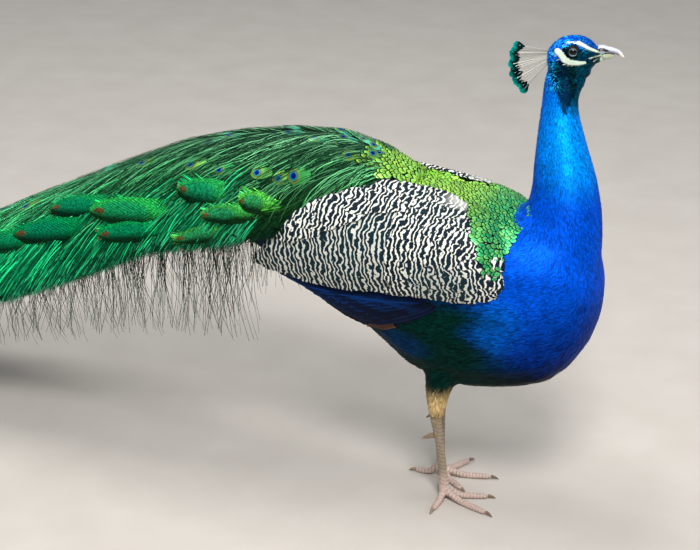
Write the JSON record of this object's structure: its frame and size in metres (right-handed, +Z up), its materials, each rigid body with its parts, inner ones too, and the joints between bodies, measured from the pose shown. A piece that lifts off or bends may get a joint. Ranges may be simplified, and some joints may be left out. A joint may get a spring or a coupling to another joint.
{
  "type": "peacock",
  "caption": "Life-size standing Indian peacock with fan crest, barred folded wings and a long folded train whose tip lies on the floor.",
  "frame": {"origin": "on the floor, under the middle of the bird's outer box", "axes": "+X towards the bill, along the bird; +Y towards the bird's left; +Z up"},
  "size_m": [1.6024, 0.2726, 0.7631],
  "materials": {
    "blue_plumage": "dense glossy blue feathers on the head, neck and breast, with a satin sheen",
    "green_plumage": "green scale-like back feathers and blue-black belly feathers, satin",
    "barred_plumage": "cream feathers with fine wavy black bars, matte",
    "flight_plumage": "blue-black flight feathers with brown outer ones, satin",
    "train_plumage": "loose bronze-green train feathers with eye spots, silky sheen",
    "tail_plumage": "stiff plain brown tail feathers, matte",
    "crest_plumage": "bare pale shafts with blue-green tips",
    "thigh_plumage": "soft buff down, matte",
    "bill_horn": "pale grey horn, smooth and slightly glossy",
    "eye": "very dark brown, wet gloss",
    "leg_skin": "scaly grey-brown skin, dull",
    "claw_horn": "brown horn, slightly glossy"
  },
  "bodies": {
    "root": {"bill_lower": "bill_horn", "bill_upper": "bill_horn", "claw_hind_left": "claw_horn", "claw_hind_right": "claw_horn", "claw_inner_left": "claw_horn", "claw_inner_right": "claw_horn", "claw_middle_left": "claw_horn", "claw_middle_right": "claw_horn", "claw_outer_left": "claw_horn", "claw_outer_right": "claw_horn", "crest": "crest_plumage", "eye_left": "eye", "eye_right": "eye", "flight_left": "flight_plumage", "flight_right": "flight_plumage", "fringe_left": "train_plumage", "fringe_right": "train_plumage", "head": "blue_plumage", "neck_lower": "blue_plumage", "neck_upper": "blue_plumage", "spur_left": "claw_horn", "spur_right": "claw_horn", "tail": "tail_plumage", "tarsus_left": "leg_skin", "tarsus_right": "leg_skin", "thigh_left": "thigh_plumage", "thigh_right": "thigh_plumage", "toe_hind_left": "leg_skin", "toe_hind_right": "leg_skin", "toe_inner_left": "leg_skin", "toe_inner_right": "leg_skin", "toe_middle_left": "leg_skin", "toe_middle_right": "leg_skin", "toe_outer_left": "leg_skin", "toe_outer_right": "leg_skin", "train": "train_plumage", "trunk": "green_plumage", "wing_left": "barred_plumage", "wing_right": "barred_plumage"}
  },
  "joints": []
}
